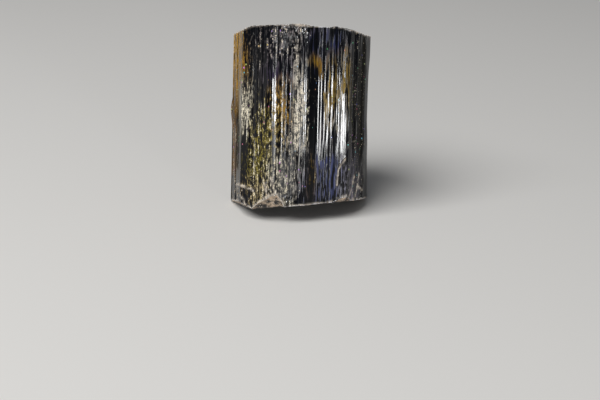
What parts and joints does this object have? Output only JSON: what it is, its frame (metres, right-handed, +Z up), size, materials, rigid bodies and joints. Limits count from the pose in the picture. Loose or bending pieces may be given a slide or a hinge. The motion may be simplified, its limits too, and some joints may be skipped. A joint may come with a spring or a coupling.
{
  "type": "tourmaline crystal",
  "caption": "Stout, dark, striated tourmaline prism, broken off at both ends, that stands leaning a little back on its lower break.",
  "frame": {"origin": "centre of the bounding box's bottom, on the surface that the crystal stands on", "axes": "+Z up, +X to the right of the front, -Y towards the front. The prism's axis leans 9.5 degrees from +Z towards +Y"},
  "size_m": [0.0224, 0.025, 0.0313],
  "materials": {
    "tourmaline": "nearly black and glassy on the striated side faces, paler and rough on the breaks"
  },
  "bodies": {
    "root": {"tourmaline_crystal": "tourmaline"}
  },
  "joints": []
}
